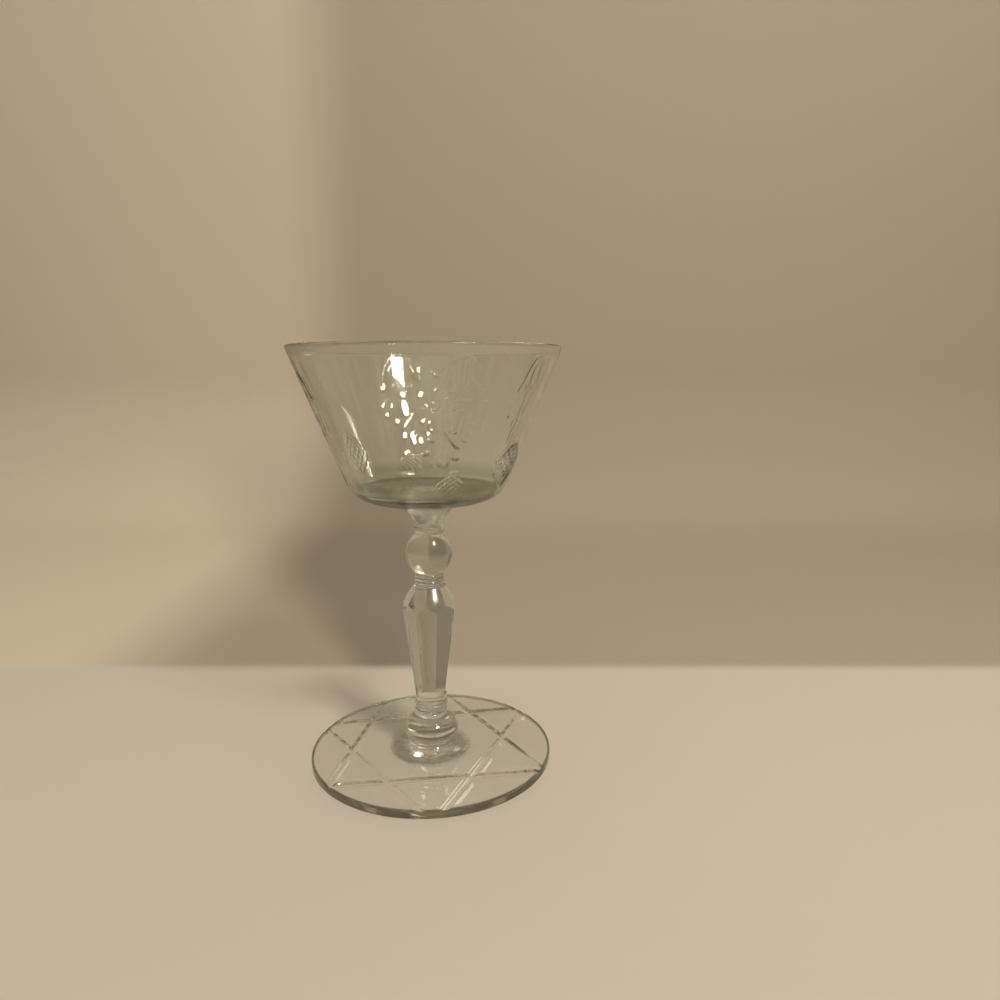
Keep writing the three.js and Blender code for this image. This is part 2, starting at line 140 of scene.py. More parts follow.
# Bowl tones: the near-black band just above the seat is painted shade for the dark line along the
# underside; the dusky band above it is the green of the thick base, deepened as painted shade; the green
# lip at the top is painted shade that outlines the rim
BOWL_TONES = [(BOWL_LEVEL + 0.1, GREEN), (BOWL_LEVEL + 0.6, DARK_LINE_SHADE), (BOWL_LEVEL + 4.4, DARK_LINE_SHADE),
              (BOWL_LEVEL + 4.8, DUSK), (BOWL_LEVEL + 8.0, DUSK), (BOWL_LEVEL + 10.5, CLEAR),
              (RIM_LEVEL - 1.0, CLEAR), (RIM_LEVEL - 0.4, GREEN)]
STEM_TONES = [(10.0, PALE), (25.0, SMOKE)]
FOOT_TONES = [(0.0, PALE), (FOOT_THICKNESS, CLEAR)]
BOWL_SHADE, STEM_SHADE, FOOT_SHADE = (0.88, 0.88, 0.86), (0.42, 0.42, 0.40), (0.995, 0.995, 0.99)
BOWL_COAT, STEM_COAT, FOOT_COAT, COAT_ROUGHNESS = 0.4, 1.0, 0.0, 0.1
# The foot's rim gets a painted dark band: painted shade for the dark its thick edge shows, with its
# olive tint
FOOT_EDGE_SHADE_TONE, FOOT_EDGE_SHADE_WIDTH, FOOT_EDGE_SHADE_BLUR = (0.19, 0.185, 0.13), 0.55, 0.25
REFRACTION = 1.52
WAVES, WAVE_STRENGTH, WAVE_HEIGHT = (110, 1), 0.05, 0.6
PITS, PIT_WEIGHT, PIT_STRENGTH = (1000, 2), 1.2, 0.7
PITTED_LEVELS = (BOSS_LEVEL + 0.5, BOSS_LEVEL + 2.0)
SMEARS, SMEAR_RANGE, SMEAR_ROUGHNESS = (45, 2), (0.55, 0.8), 0.03

# Shelf and wall: the wall begins at a depth behind the glass. It is lighter far left, has painted light
# high up and painted shade where it rises from the shelf. A painted shadow of the glass fans out on it
# to the left, between slopes
SHELF_TONE, WALL_TONE = (0.70, 0.65, 0.57), (0.53, 0.475, 0.375)
SHEET_ROUGHNESS, SHEET_GLOSS = 0.8, 0.1
WALL_DEPTH = (0.064, 0.074)
LEFT_REACH, LEFT_GAIN = (-0.17, -0.09), 0.55
HIGH_REACH, HIGH_PAINTED_LIGHT = (0.03, 0.14), 0.20
RISE_REACH, RISE_PAINTED_SHADE = (0.25, 0.42), 0.13
FAN_OUTER, FAN_INNER = (-0.65, -0.38), (-0.16, -0.04)
FAN_REACH, FAN_PAINTED_SHADOW, FAN_SPREAD_IN_GLASS = (0.01, 0.09), 0.30, 0.6
SHEET_LEVEL, SHEET_FRONT, SHEET_BACK, SHEET_TURN = -0.00005, -0.8, 0.45, 0.12
SHEET_HEIGHT, SHEET_HALF_WIDTH, SHEET_TURN_STEPS = 0.8, 0.52, 12
SHEET_LINES = (SHEET_FRONT, -0.3, 0.0, 0.2)

# Dim room that the glass mirrors: its tones by direction, and the bright patches overhead
ROOM_LEFT, ROOM_RIGHT, ROOM_SIDES = (0.10, 0.09, 0.065), (0.30, 0.265, 0.195), (-0.6, 0.6)
ROOM_FRONT, ROOM_FRONTAL = (0.30, 0.275, 0.215), (-0.3, -0.9)
ROOM_TOP, ROOM_HIGH = (0.24, 0.215, 0.155), (0.35, 0.75)
PATCHES, PATCH_RANGE, PATCH_LIGHT, PATCH_HEIGHT = (9.0, 1.0), (0.48, 0.54), (0.05, 3.0), (0.3, 0.7)
ROOM_GLOW, ROOM_SEEN = (0.01, 0.009, 0.007), (0.33, 0.28, 0.20)

# Lamps: direction from the glass, distance, size and power
LAMP_AIM, LAMP_COLOUR = (0.0, 0.0, 0.07), (1.0, 0.90, 0.76)
KEY_PLACE = (0.43, -0.5, 0.76), 1.1, (0.17, 0.14)
DOT_PLACE = (0.43, -0.5, 0.70), 1.1, (0.16, 0.28)
GLEAM_PLACE = (0.25, 0.78, 0.57), 0.52, (0.12, 0.09)
SKY_PLACE = (0.0, -0.1, 1.0), 1.5, (1.6, 1.6)
KEY_WATTS, FLASH_WATTS, DOT_WATTS, GLEAM_WATTS, SKY_WATTS = 5.6, 3.6, 8.5, 0.12, 13.0
LIGHT_BOUNCES = 32

# Viewpoint
CAMERA_PLACE, CAMERA_PITCH = (0.02167, -0.2229, 0.1203), 9.89
CAMERA_LENS, CAMERA_SENSOR, CAMERA_NEAR = 27.04, 36, 0.01


class Rings:
    """A closed surface of rings stacked from a point on the axis to another point on the axis.
    Each ring is a radius and a level, either of which may vary with the angle."""

    def __init__(self, angles):
        self.angles = np.asarray(angles, float)
        self.points, self.sharp, self.welds = [], set(), set()

    def add(self, radius, level, sharp=False):
        """Adds a ring and returns its number."""
        a = self.angles
        r, z = np.broadcast_to(radius, a.shape), np.broadcast_to(level, a.shape)
        self.points.append(np.stack([r * np.cos(a), r * np.sin(a), z], axis=1))
        if sharp:
            self.sharp.add(len(self.points) - 1)
        return len(self.points) - 1

    def curve(self, profile):
        for radius, level in profile:
            self.add(radius, level)

    def weld(self):
        """The band from the last ring to the next one lies on another piece of the glass."""
        self.welds.add(len(self.points) - 1)

    def mesh(self, name, creases=()):
        """creases holds (column, first ring, last ring) of sharp lines that run up the piece."""
        rows, count = len(self.points), len(self.angles)
        inner = np.concatenate(self.points[1:-1])
        low, high = self.points[0].mean(0), self.points[-1].mean(0)
        vertices = np.concatenate([inner, [low, high]]) * MM
        column = np.arange(count)
        beside = (column + 1) % count
        faces, slots = [], []
        for row in range(rows - 1):
            a, b = (row - 1) * count, row * count
            if row == 0:
                band = np.stack([np.full(count, len(inner)), b + beside, b + column], 1)
            elif row == rows - 2:
                band = np.stack([a + column, a + beside, np.full(count, len(inner) + 1)], 1)
            else:
                band = np.stack([a + column, a + beside, b + beside, b + column], 1)
            faces.extend(band.tolist())
            slots.extend([WELD if row in self.welds else GLASS] * count)
        mesh = bpy.data.meshes.new(name)
        mesh.from_pydata(vertices.tolist(), [], faces)
        mesh.polygons.foreach_set("material_index", slots)
        mesh.shade_smooth()
        self.crease(mesh, creases)
        mesh.validate()
        return mesh

    def crease(self, mesh, creases):
        """Marks the sharp rings and the sharp lines between rings."""
        count, total = len(self.angles), (len(self.points) - 2) * len(self.angles)
        ends = np.empty(2 * len(mesh.edges), np.int32)
        mesh.edges.foreach_get("vertices", ends)
        ends = ends.reshape(-1, 2)
        ring, column = ends // count + 1, ends % count
        whole = (ends < total).all(1)
        level = whole & (ring[:, 0] == ring[:, 1])
        sharp = level & np.isin(ring[:, 0], sorted(self.sharp))
        upright = whole & (column[:, 0] == column[:, 1])
        for line, first, last in creases:
            inside = (ring >= first).all(1) & (ring <= last).all(1)
            sharp |= upright & inside & (column[:, 0] == line)
        marks = mesh.attributes.new("sharp_edge", "BOOLEAN", "EDGE")
        marks.data.foreach_set("value", sharp)


def arc(centre, width, height, start, end, steps):
    """Points of an arc or ellipse about a centre."""
    turns = np.radians(np.linspace(start, end, steps + 1))
    return [(centre[0] + width * math.cos(t), centre[1] + height * math.sin(t)) for t in turns]


def rounded(before, corner, after, radius, steps):
    """The arc that rounds the corner between two straight lines of a profile."""
    before, corner, after = (np.array(p, float) for p in (before, corner, after))
    back = (before - corner) / np.linalg.norm(before - corner)
    ahead = (after - corner) / np.linalg.norm(after - corner)
    half = math.acos(back @ ahead) / 2
    middle = (back + ahead) / np.linalg.norm(back + ahead)
    centre = corner + middle * radius / math.sin(half)
    start = corner + back * radius / math.tan(half) - centre
    end = corner + ahead * radius / math.tan(half) - centre
    sweep = math.atan2(start[0] * end[1] - start[1] * end[0], start @ end)
    first = math.atan2(start[1], start[0])
    return arc(centre, radius, radius, math.degrees(first), math.degrees(first + sweep), steps)


def spread(count, pitch):
    """Places at a pitch, with their middle at zero."""
    return [(i - (count - 1) / 2) * pitch for i in range(count)]


def polygon_radius(angles, corner_radius, sides, first):
    """Radius of a regular polygon at each angle; first is the angle of one corner."""
    side = 2 * math.pi / sides
    off = np.mod(angles - first, side) - side / 2
    return corner_radius * math.cos(side / 2) / np.cos(off)


def wall_radius(level, base, top):
    share = (level - BOWL_BASE_LEVEL) / (WALL_TOP_LEVEL - BOWL_BASE_LEVEL)
    return base + (top - base) * share


def outside_at(level):
    return wall_radius(level, BOWL_BASE_RADIUS, RIM_RADIUS)


def inside_at(level):
    return wall_radius(level, BOWL_BASE_RADIUS - BASE_WALL, RIM_RADIUS - RIM_WALL)


def crossed(cut, lines, pitch):
    """Two sets of parallel cuts that cross in a diamond."""
    cuts = []
    for lean in (cut.lean, -cut.lean):
        turn = math.radians(lean)
        for step in spread(lines, pitch):
            drop, across = cut.drop - step * math.sin(turn), step * math.cos(turn)
            cuts.append(cut._replace(drop=drop, across=across, lean=lean))
    return cuts


def pendant_cuts():
    """The cuts of one pendant, with its hatched end, its notches and its two petals."""
    cuts = CUTS + crossed(HATCH, HATCH_LINES, HATCH_PITCH)
    cuts += [NOTCH._replace(across=across) for across in spread(NOTCHES, NOTCH_PITCH)]
    cuts += [PETAL._replace(across=side * PETAL.across, lean=side * PETAL.lean) for side in (1, -1)]
    return cuts


def field_cuts():
    """The hatched diamond between two pendants."""
    return crossed(FIELD, FIELD_LINES, FIELD_PITCH)


def cut_depth(cuts, across, drop, slant):
    """How deep the cuts go into the wall at places measured from the middle of their motif. A line
    is a groove of even depth with flat sides, an olive is hollow and a facet has a flat floor."""
    depth = np.zeros(np.broadcast(across, drop).shape)
    for cut in cuts:
        u = across - cut.across
        v = (cut.drop - drop) / math.cos(slant)
        c, s = math.cos(math.radians(cut.lean)), math.sin(math.radians(cut.lean))
        along = (c * v - s * u) / (cut.length / 2)
        aside = (c * u + s * v) / (cut.width / 2)
        if cut.kind == FACET:
            edge = 1 - (np.abs(along) ** 3 + np.abs(aside) ** 3) ** (1 / 3)
            sideways, lengthways = math.radians(cut.fall_across), math.radians(cut.fall_along)
            floor = cut.depth + u * math.tan(sideways) + v * math.tan(lengthways)
            here = np.clip(np.minimum(floor, edge * cut.width), 0, None)
        else:
            swell = np.clip(1 - along ** (8 if cut.kind == LINE else 2), 0, None)
            offset = np.abs(aside) / np.maximum(swell, 1e-6)
            section = np.sqrt(np.clip(1 - offset ** 2, 0, None)) if cut.kind == OLIVE else 1 - offset
            here = cut.depth * swell * np.clip(section, 0, None)
        depth = np.maximum(depth, here)
    return depth


def bowl_angles():
    """Close columns where the bowl is cut and wider ones between the motifs."""
    pendant = PENDANT_HALF_WIDTH / outside_at(RIM_LEVEL - PENDANT_MIDDLE)
    field = FIELD_HALF_WIDTH / outside_at(RIM_LEVEL - FIELD.drop)
    motifs = [(math.radians(turn), pendant, PENDANT_COLUMNS) for turn in PENDANT_TURNS]
    motifs += [(math.radians(turn), field, FIELD_COLUMNS) for turn in FIELD_TURNS]
    start = motifs[0][0] - pendant
    spans = sorted((np.mod(middle - half - start, 2 * math.pi), half, columns)
                   for middle, half, columns in motifs)
    angles = []
    for i, (first, half, columns) in enumerate(spans):
        last = first + 2 * half
        follows = spans[i + 1][0] if i + 1 < len(spans) else 2 * math.pi
        gap = max(2, math.ceil((follows - last) / math.radians(PLAIN_COLUMN_TURN)))
        angles += [np.linspace(first, last, columns), np.linspace(last, follows, gap + 1)[1:-1]]
    return np.concatenate(angles) + start


def from_middle(angles, middle):
    """Angles measured from the middle of a motif."""
    return np.mod(angles - middle + math.pi, 2 * math.pi) - math.pi


def add_cut_wall(rings, lowest):
    """The outside of the bowl's wall, with the ornament cut into it square to its slant."""
    slant = math.atan2(RIM_RADIUS - BOWL_BASE_RADIUS, WALL_TOP_LEVEL - BOWL_BASE_LEVEL)
    motifs = [(pendant_cuts(), from_middle(rings.angles, math.radians(turn))) for turn in PENDANT_TURNS]
    motifs += [(field_cuts(), from_middle(rings.angles, math.radians(turn))) for turn in FIELD_TURNS]
    for level in np.linspace(lowest, WALL_TOP_LEVEL, WALL_RINGS)[:-1]:
        radius, drop = outside_at(level), RIM_LEVEL - level
        depth = np.max([cut_depth(cuts, away * radius, drop, slant) for cuts, away in motifs], 0)
        rings.add(radius - depth * math.cos(slant), level + depth * math.sin(slant))


def make_bowl():
    rings = Rings(bowl_angles())
    seat = (CAPITAL_RADIUS + SEAT_MARGIN, BOWL_LEVEL)
    corner_level = BOWL_LEVEL + UNDERSIDE_RISE
    corner = (outside_at(corner_level), corner_level)
    wall_top = (outside_at(WALL_TOP_LEVEL), WALL_TOP_LEVEL)
    under = rounded(seat, corner, wall_top, UNDERSIDE_ROUND, UNDERSIDE_STEPS)
    rings.add(0, BOWL_LEVEL)
    rings.weld()
    rings.add(capital_outline(rings.angles), BOWL_LEVEL)
    rings.add(*seat)
    rings.add((seat[0] + under[0][0]) / 2, (seat[1] + under[0][1]) / 2)
    rings.curve(under[:-1])
    add_cut_wall(rings, under[-1][1])

    lip = (RIM_RADIUS - RIM_WALL / 2, WALL_TOP_LEVEL)
    rings.curve(arc(lip, RIM_WALL / 2, RIM_WALL / 2, 0, 180, LIP_STEPS))
    inside_top = (inside_at(WALL_TOP_LEVEL), WALL_TOP_LEVEL)
    inside_corner = (inside_at(BOWL_LEVEL + FLOOR_THICKNESS), BOWL_LEVEL + FLOOR_THICKNESS)
    floor = (0.0, inside_corner[1])
    inner = rounded(inside_top, inside_corner, floor, INSIDE_ROUND, INSIDE_STEPS)
    for level in np.linspace(WALL_TOP_LEVEL, inner[0][1], INSIDE_RINGS)[1:-1]:
        rings.add(inside_at(level), level)
    rings.curve(inner)
    rings.add(inner[-1][0] / 2, floor[1])
    rings.add(*floor)
    return rings.mesh("bowl_glass")


def first_corner():
    """The angle of the first corner of the baluster and of the capital."""
    return math.radians(BALUSTER_TURN - 90)


def capital_outline(angles):
    return polygon_radius(angles, CAPITAL_RADIUS, CAPITAL_SIDES, first_corner())


def add_beads(rings, count, pitch, radius, proud, level):
    """Half-round beads stacked up the side of a cylinder."""
    for i in range(count):
        rings.add(radius, level + i * pitch, sharp=True)
        middle = (radius, level + (i + 0.5) * pitch)
        rings.curve(arc(middle, proud, pitch / 2, -90, 90, BEAD_STEPS)[1:-1])
    rings.add(radius, level + count * pitch, sharp=True)


def add_boss(rings):
    """The flared skirt that stands on the foot, its cushion and the beaded collar above."""
    rings.add(SKIRT_RADIUS, BOSS_LEVEL, sharp=True)
    flare = (SKIRT_RADIUS - CUSHION_RADIUS + WAIST_DEPTH, SKIRT_HEIGHT - SKIRT_LIP)
    skirt = arc((SKIRT_RADIUS, WAIST_LEVEL), *flare, 270, 180, SKIRT_STEPS)
    rings.add(*skirt[0], sharp=True)
    rings.curve(skirt[1:-1])
    swell = CUSHION_RADIUS - COLLAR_RADIUS
    low = math.acos(1 - WAIST_DEPTH / swell)
    belly = (COLLAR_RADIUS, WAIST_LEVEL + BELLY_HEIGHT)
    under = arc(belly, swell, BELLY_HEIGHT / math.sin(low), -math.degrees(low), 0, BELLY_STEPS)
    rings.add(*under[0], sharp=True)
    rings.curve(under[1:])
    rings.curve(arc(belly, swell, CUSHION_HEIGHT - BELLY_HEIGHT, 0, 90, CUSHION_STEPS)[1:-1])
    add_beads(rings, COLLAR_BEADS, COLLAR_BEAD_PITCH, COLLAR_RADIUS, COLLAR_BEAD_PROUD, COLLAR_LEVEL)
    rings.add(COLLAR_RADIUS, BALUSTER_LEVEL, sharp=True)


def add_baluster(rings):
    """The shaft and the shoulder, turned by half a side, which meet in a zigzag. Returns their
    creases."""
    angles, first, side = rings.angles, first_corner(), 2 * math.pi / BALUSTER_SIDES
    wide = BALUSTER_WIDE_RADIUS / math.cos(side / 2)
    widening = (BALUSTER_WIDE_RADIUS - BALUSTER_LOW_RADIUS) / BALUSTER_SHAFT_HEIGHT
    narrowing = (wide - BALUSTER_TOP_RADIUS) / BALUSTER_SHOULDER_HEIGHT
    shaft_shape = polygon_radius(angles, 1.0, BALUSTER_SIDES, first)
    shoulder_shape = polygon_radius(angles, 1.0, BALUSTER_SIDES, first + side / 2)
    meeting = (shoulder_shape * wide - shaft_shape * BALUSTER_WIDE_RADIUS) / (
        shaft_shape * widening + shoulder_shape * narrowing)
    within = 2 * np.mod(angles - first - side / 2, side) / side - 1
    bulge = SHOULDER_BULGE * (1 - within ** 2)

    shaft, shoulder = [], []
    for share in np.linspace(0, 1, SHAFT_RINGS):
        rise = share * (BALUSTER_SHAFT_HEIGHT + meeting)
        radius = shaft_shape * (BALUSTER_LOW_RADIUS + widening * rise)
        shaft.append(rings.add(radius, BALUSTER_LEVEL + rise, sharp=share in (0, 1)))
    for share in np.linspace(0, 1, SHOULDER_RINGS)[1:]:
        rise = meeting + share * (BALUSTER_SHOULDER_HEIGHT - meeting)
        radius = shoulder_shape * (wide - narrowing * rise) + bulge * (1 - (1 - share) ** 4)
        shoulder.append(rings.add(radius, SHOULDER_LEVEL + rise, sharp=share == 1))
    creases = []
    for i in range(BALUSTER_SIDES):
        creases.append((2 * i * STEM_COLUMNS_PER_FACET, shaft[0], shaft[-1]))
        creases.append(((2 * i + 1) * STEM_COLUMNS_PER_FACET, shaft[-1], shoulder[-1]))
    return creases


def add_knop(rings):
    """The ringed necks and the ball between them."""
    add_beads(rings, LOWER_NECK_RINGS, LOWER_RING_PITCH, NECK_RADIUS, LOWER_RING_PROUD, LOWER_NECK_LEVEL)
    ball_end = math.acos(NECK_RADIUS / BALL_RADIUS)
    reach, end = BALL_HEIGHT / 2 / math.sin(ball_end), math.degrees(ball_end)
    middle = (0, BALL_LEVEL + BALL_HEIGHT / 2)
    rings.curve(arc(middle, BALL_RADIUS, reach, -end, end, BALL_STEPS)[1:-1])
    add_beads(rings, 1, UPPER_RING_HEIGHT, NECK_RADIUS, UPPER_RING_PROUD, UPPER_RING_LEVEL)


def make_stem():
    count = 2 * BALUSTER_SIDES * STEM_COLUMNS_PER_FACET
    rings = Rings(first_corner() + np.arange(count) * 2 * math.pi / count)
    rings.add(0, BOSS_LEVEL)
    rings.weld()
    add_boss(rings)
    creases = add_baluster(rings)
    add_knop(rings)
    low = rings.add(NECK_RADIUS, CAPITAL_LEVEL, sharp=True)
    high = rings.add(capital_outline(rings.angles), BOWL_LEVEL, sharp=True)
    creases += [(i * STEM_COLUMNS_PER_FACET, low, high) for i in range(CAPITAL_SIDES)]
    rings.weld()
    rings.add(0, BOWL_LEVEL)
    return rings.mesh("stem_glass", creases)


def groove_depth(x, y):
    """Depth of the star's straight grooves, which have polished edges, at places on the foot."""
    depth = np.zeros_like(x)
    for turn, offset in STAR_LINES:
        turn = math.radians(turn)
        off = x * math.cos(turn) + y * math.sin(turn) - offset
        share = np.clip(np.abs(off) / STAR_GROOVE_WIDTH, 0, 0.5)
        depth = np.maximum(depth, STAR_GROOVE_DEPTH * np.cos(math.pi * share) ** 2)
    return depth


def make_foot():
    angles = np.arange(FOOT_COLUMNS) * 2 * math.pi / FOOT_COLUMNS
    rings = Rings(angles)
    hollow = FOOT_RADIUS - FOOT_EDGE_ROUND - BEARING_RING_WIDTH
    dome = (hollow ** 2 + FOOT_HOLLOW_DEPTH ** 2) / (2 * FOOT_HOLLOW_DEPTH)
    edge = math.degrees(math.acos(hollow / dome))
    rings.curve(arc((0, FOOT_HOLLOW_DEPTH - dome), dome, dome, 90, edge, HOLLOW_STEPS))
    r = FOOT_EDGE_ROUND
    rings.curve(arc((FOOT_RADIUS - r, r), r, r, -90, 0, EDGE_STEPS))

    def add_grooved(radius, level, share=1.0):
        depth = groove_depth(radius * np.cos(angles), radius * np.sin(angles))
        rings.add(radius, level - share * depth)

    for radius, level in arc((FOOT_RADIUS - r, FOOT_THICKNESS - r), r, r, 0, 90, EDGE_STEPS):
        add_grooved(radius, level, (level - FOOT_THICKNESS + r) / r)
    plain = min(offset for _, offset in STAR_LINES) - STAR_GROOVE_WIDTH / 2
    for radius in np.linspace(FOOT_RADIUS - r, plain, STAR_RINGS)[1:]:
        add_grooved(radius, FOOT_THICKNESS)
    for radius in np.linspace(plain, SKIRT_RADIUS, PLAIN_RINGS)[1:]:
        rings.add(radius, FOOT_THICKNESS)
    rings.weld()
    rings.add(0, FOOT_THICKNESS)
    return rings.mesh("foot_glass")


class Shading:
    """The nodes of a material or of the room, with its coordinates where it needs them."""

    def __init__(self, owner, coordinates=None):
        owner.use_nodes = True
        self.nodes, self.links = owner.node_tree.nodes, owner.node_tree.links
        self.nodes.clear()
        if coordinates:
            self.place = self.add("TexCoord").outputs[coordinates]
            self.x, self.y, self.z = self.add("SeparateXYZ", {0: self.place}).outputs

    def add(self, kind, inputs=None, **settings):
        """A node with its settings. Each input is a value, a colour or the output that feeds it."""
        node = self.nodes.new("ShaderNode" + kind)
        for name, value in settings.items():
            setattr(node, name, value)
        for key, value in (inputs or {}).items():
            if isinstance(value, bpy.types.NodeSocket):
                self.links.new(value, node.inputs[key])
            else:
                node.inputs[key].default_value = (*value, 1) if isinstance(value, tuple) else value
        return node

    def ramp(self, value, start, end, low=0.0, high=1.0, shape="LINEAR"):
        """Goes from low to high while the value goes from start to end."""
        inputs = {"Value": value, "From Min": start, "From Max": end, "To Min": low, "To Max": high}
        return self.add("MapRange", inputs, interpolation_type=shape).outputs[0]

    def ease(self, value, start, end, low=0.0, high=1.0):
        """A ramp with soft ends."""
        return self.ramp(value, start, end, low, high, "SMOOTHSTEP")

    def mixed(self, factor, first, second):
        inputs = {"Factor": factor, "A": first, "B": second}
        return self.add("Mix", inputs, data_type="RGBA").outputs["Result"]

    def math(self, operation, *values):
        return self.add("Math", dict(enumerate(values)), operation=operation).outputs[0]

    def noise(self, scale, detail):
        inputs = {"Vector": self.place, "Scale": scale, "Detail": detail}
        return self.add("TexNoise", inputs).outputs["Fac"]

    def choose(self, factor, first, second):
        """The first shader where the factor is 0 and the second where it is 1."""
        return self.add("MixShader", {0: factor, 1: first, 2: second}).outputs[0]


def glass_material(name, tones, shade, coat, edge=None, pitted=None):
    """Clear glass with faint waves. Its tones are given at levels from the lowest up; the shade is
    what light keeps on its way through; edge is a painted dark band at the rim of a disc, painted shade
    with the olive of its thick edge, given by its tone and radius; pitted holds the levels between which
    pits in the surface give way to the waves alone."""
    material = bpy.data.materials.new(name)
    glass = Shading(material, "Object")
    tone = tones[0][1]
    for (low, _), (high, follows) in zip(tones, tones[1:]):
        tone = glass.mixed(glass.ramp(glass.z, low * MM, high * MM), tone, follows)
    # Painted shade: a dark band at the rim of the disc
    if edge:
        edge_shade_tone, radius = edge
        flat = glass.add("CombineXYZ", {"X": glass.x, "Y": glass.y}).outputs[0]
        reach = glass.add("VectorMath", {0: flat}, operation="LENGTH").outputs["Value"]
        outer = glass.ramp(reach, (radius - FOOT_EDGE_SHADE_BLUR) * MM, radius * MM)
        tone = glass.mixed(outer, tone, edge_shade_tone)
    height, strength = glass.noise(*WAVES), WAVE_STRENGTH
    if pitted:
        low, high = pitted
        height = glass.math("MULTIPLY_ADD", glass.noise(*PITS), PIT_WEIGHT, height)
        strength = glass.ramp(glass.z, low * MM, high * MM, PIT_STRENGTH, WAVE_STRENGTH)
    bump = glass.add("Bump", {"Height": height, "Strength": strength, "Distance": WAVE_HEIGHT * MM})
    body = glass.add("BsdfPrincipled", {
        "Base Color": tone,
        "Roughness": glass.ramp(glass.noise(*SMEARS), *SMEAR_RANGE, 0.0, SMEAR_ROUGHNESS),
        "Normal": bump.outputs[0],
        "Transmission Weight": 1.0,
        "IOR": REFRACTION,
        "Coat Weight": coat,
        "Coat Roughness": COAT_ROUGHNESS,
    })
    through = glass.add("BsdfTransparent", {"Color": shade})
    shadow = glass.add("LightPath").outputs["Is Shadow Ray"]
    glass.add("OutputMaterial", {"Surface": glass.choose(shadow, body.outputs[0], through.outputs[0])})
    return material


def weld_material():
    """Where two pieces are fused there is no surface, so light goes straight on."""
    material = bpy.data.materials.new("fused_seam")
    weld = Shading(material)
    weld.add("OutputMaterial", {"Surface": weld.add("BsdfTransparent").outputs[0]})
    return material


def place_piece(mesh, node, material, seam):
    mesh.materials.append(material)
    mesh.materials.append(seam)
    piece = bpy.data.objects.new(mesh.name, mesh)
    bpy.context.scene.collection.objects.link(piece)
    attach(piece, "root")
    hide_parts(node)
    return piece


def backdrop_material():
    """A pale cream shelf that turns to a greige wall tone behind the glass. The wall is lighter on
    the left, has painted light high up and painted shade where it rises from the shelf, and a soft
    painted shadow that fans out from the glass."""
    material = bpy.data.materials.new("paper")
    paper = Shading(material, "Object")
    rays = paper.add("LightPath").outputs
    wall = paper.ease(paper.y, *WALL_DEPTH)
    tone = paper.mixed(wall, SHELF_TONE, WALL_TONE)
    # Painted shadow of the glass, fanning out to the left on the wall
    slope = paper.math("DIVIDE", paper.x, paper.y)
    spread_out = paper.ease(rays["Is Transmission Ray"], 0.0, 1.0, 1.0, FAN_SPREAD_IN_GLASS)
    outer = paper.ease(paper.math("MULTIPLY", slope, spread_out), *FAN_OUTER)
    fan_shadow = paper.math("MULTIPLY", paper.ease(slope, *FAN_INNER, 1.0, 0.0), outer)
    shade = paper.math("MULTIPLY", fan_shadow, paper.ease(paper.z, *FAN_REACH, 1.0, 0.0))
    left = paper.ease(paper.x, *LEFT_REACH, LEFT_GAIN, 0.0)
    lit = paper.math("MULTIPLY", left, rays["Is Camera Ray"])
    # Painted light high up on the wall and painted shade where it rises from the shelf
    high = paper.ease(paper.z, *HIGH_REACH, 0.0, HIGH_PAINTED_LIGHT)
    rise = paper.ease(paper.y, *RISE_REACH, -RISE_PAINTED_SHADE, 0.0)
    base = paper.math("ADD", paper.math("ADD", high, rise), lit)
    change = paper.math("SUBTRACT", base, paper.math("MULTIPLY", shade, FAN_PAINTED_SHADOW))
    level = paper.math("ADD", paper.math("MULTIPLY", change, wall), 1.0)
    lightened = paper.add("VectorMath", {0: tone, "Scale": level}, operation="SCALE").outputs[0]
    body = paper.add("BsdfPrincipled", {
        "Base Color": lightened, "Roughness": SHEET_ROUGHNESS, "Specular IOR Level": SHEET_GLOSS})
    paper.add("OutputMaterial", {"Surface": body.outputs[0]})
    return material


def make_stage():
    """One seamless sheet: a floor that curves up to a wall far behind the glass."""
    line = [(y, SHEET_LEVEL) for y in SHEET_LINES]
    centre = (SHEET_BACK - SHEET_TURN, SHEET_LEVEL + SHEET_TURN)
    line += arc(centre, SHEET_TURN, SHEET_TURN, -90, 0, SHEET_TURN_STEPS)
    line.append((SHEET_BACK, SHEET_HEIGHT))
    vertices = [(x, y, z) for x in (-SHEET_HALF_WIDTH, SHEET_HALF_WIDTH) for y, z in line]
    count = len(line)
    faces = [(i, count + i, count + i + 1, i + 1) for i in range(count - 1)]
    mesh = bpy.data.meshes.new("sheet")
    mesh.from_pydata(vertices, [], faces)
    mesh.shade_smooth()
    mesh.materials.append(backdrop_material())
    sheet = bpy.data.objects.new("sheet", mesh)
    bpy.context.scene.collection.objects.link(sheet)


def make_lamp(name, direction, distance, size, watts, soft=False, gleam=False, dot=None):
    """A lamp that looks at the glass. A soft one lights the room and isn't seen in the glass; a gleam
    is seen in the glass alone; a dot puts points of light on one piece, under the bowl too."""
    way = Vector(direction).normalized()
    data = bpy.data.lights.new(name, "AREA")
    data.shape = "RECTANGLE"
    data.size, data.size_y = size
    data.energy = watts
    data.color = LAMP_COLOUR
    data.cycles.use_multiple_importance_sampling = not soft and not dot
    lamp = bpy.data.objects.new(name, data)
    lamp.location = Vector(LAMP_AIM) + way * distance
    lamp.rotation_euler = way.to_track_quat("Z", "Y").to_euler()
    lamp.visible_camera = False
    lamp.visible_glossy = not soft
    lamp.visible_transmission = not soft
    lamp.visible_diffuse = not gleam and not dot
    if dot:
        lit = bpy.data.collections.new(name)
        lit.objects.link(dot)
        lamp.light_linking.receiver_collection = lit
    bpy.context.scene.collection.objects.link(lamp)


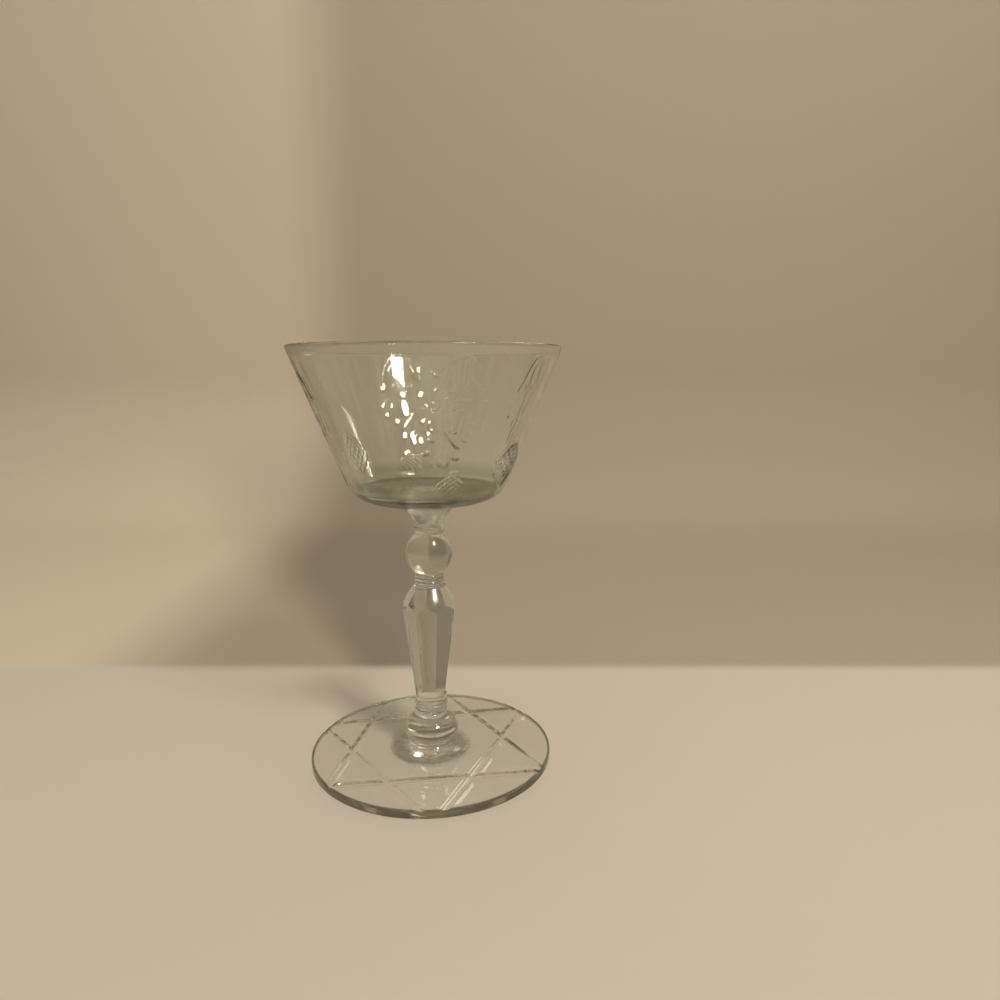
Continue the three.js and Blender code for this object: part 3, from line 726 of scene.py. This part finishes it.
def make_world():
    """The dim room round the glass: darker on the left and patchy above."""
    world = bpy.data.worlds.new("room")
    bpy.context.scene.world = world
    room = Shading(world, "Generated")

    def plain(colour):
        return room.add("Background", {"Color": colour}).outputs[0]

    sides = room.mixed(room.ease(room.x, *ROOM_SIDES), ROOM_LEFT, ROOM_RIGHT)
    round_about = room.mixed(room.ease(room.y, *ROOM_FRONTAL), sides, ROOM_FRONT)
    everywhere = room.mixed(room.ease(room.z, *ROOM_HIGH), round_about, ROOM_TOP)
    patches = room.ease(room.noise(*PATCHES), *PATCH_RANGE, *PATCH_LIGHT)
    overhead = room.ramp(room.z, *PATCH_HEIGHT)
    strength = room.add("Mix", {"Factor": overhead, "A": 1.0, "B": patches}).outputs["Result"]
    mirrored = room.add("Background", {"Color": everywhere, "Strength": strength}).outputs[0]
    rays = room.add("LightPath").outputs
    bent = room.math("MAXIMUM", rays["Is Glossy Ray"], rays["Is Transmission Ray"])
    unseen = room.choose(bent, plain(ROOM_GLOW), mirrored)
    room.add("OutputWorld", {"Surface": room.choose(rays["Is Camera Ray"], unseen, plain(ROOM_SEEN))})


def make_camera():
    data = bpy.data.cameras.new("camera")
    data.sensor_width = CAMERA_SENSOR
    data.lens = CAMERA_LENS
    data.clip_start = CAMERA_NEAR
    camera = bpy.data.objects.new("camera", data)
    camera.location = CAMERA_PLACE
    camera.rotation_euler = (math.radians(90 - CAMERA_PITCH), 0, 0)
    bpy.context.scene.collection.objects.link(camera)
    bpy.context.scene.camera = camera


seam = weld_material()
foot_edge_shade = (FOOT_EDGE_SHADE_TONE, FOOT_RADIUS - FOOT_EDGE_SHADE_WIDTH)
bowl_glass = glass_material("bowl_clear", BOWL_TONES, BOWL_SHADE, BOWL_COAT)
stem_glass = glass_material("stem_clear", STEM_TONES, STEM_SHADE, STEM_COAT, pitted=PITTED_LEVELS)
foot_glass = glass_material("foot_clear", FOOT_TONES, FOOT_SHADE, FOOT_COAT, edge=foot_edge_shade)
place_piece(make_bowl(), "bowl", bowl_glass, seam)
stem = place_piece(make_stem(), "stem", stem_glass, seam)
place_piece(make_foot(), "foot", foot_glass, seam)
make_stage()
make_lamp("key", *KEY_PLACE, KEY_WATTS, soft=True)
make_lamp("flash", *KEY_PLACE, FLASH_WATTS, gleam=True)
make_lamp("dot", *DOT_PLACE, DOT_WATTS, dot=stem)
make_lamp("gleam", *GLEAM_PLACE, GLEAM_WATTS, gleam=True)
make_lamp("sky", *SKY_PLACE, SKY_WATTS, soft=True)
make_world()
make_camera()

scene = bpy.context.scene
scene.view_settings.view_transform = "Standard"
scene.cycles.max_bounces = LIGHT_BOUNCES
scene.cycles.glossy_bounces = LIGHT_BOUNCES
scene.cycles.transmission_bounces = LIGHT_BOUNCES
scene.cycles.transparent_max_bounces = LIGHT_BOUNCES
scene.cycles.sample_clamp_indirect = 0
scene.cycles.caustics_refractive = False
scene.cycles.caustics_reflective = False

bpy.context.view_layer.update()
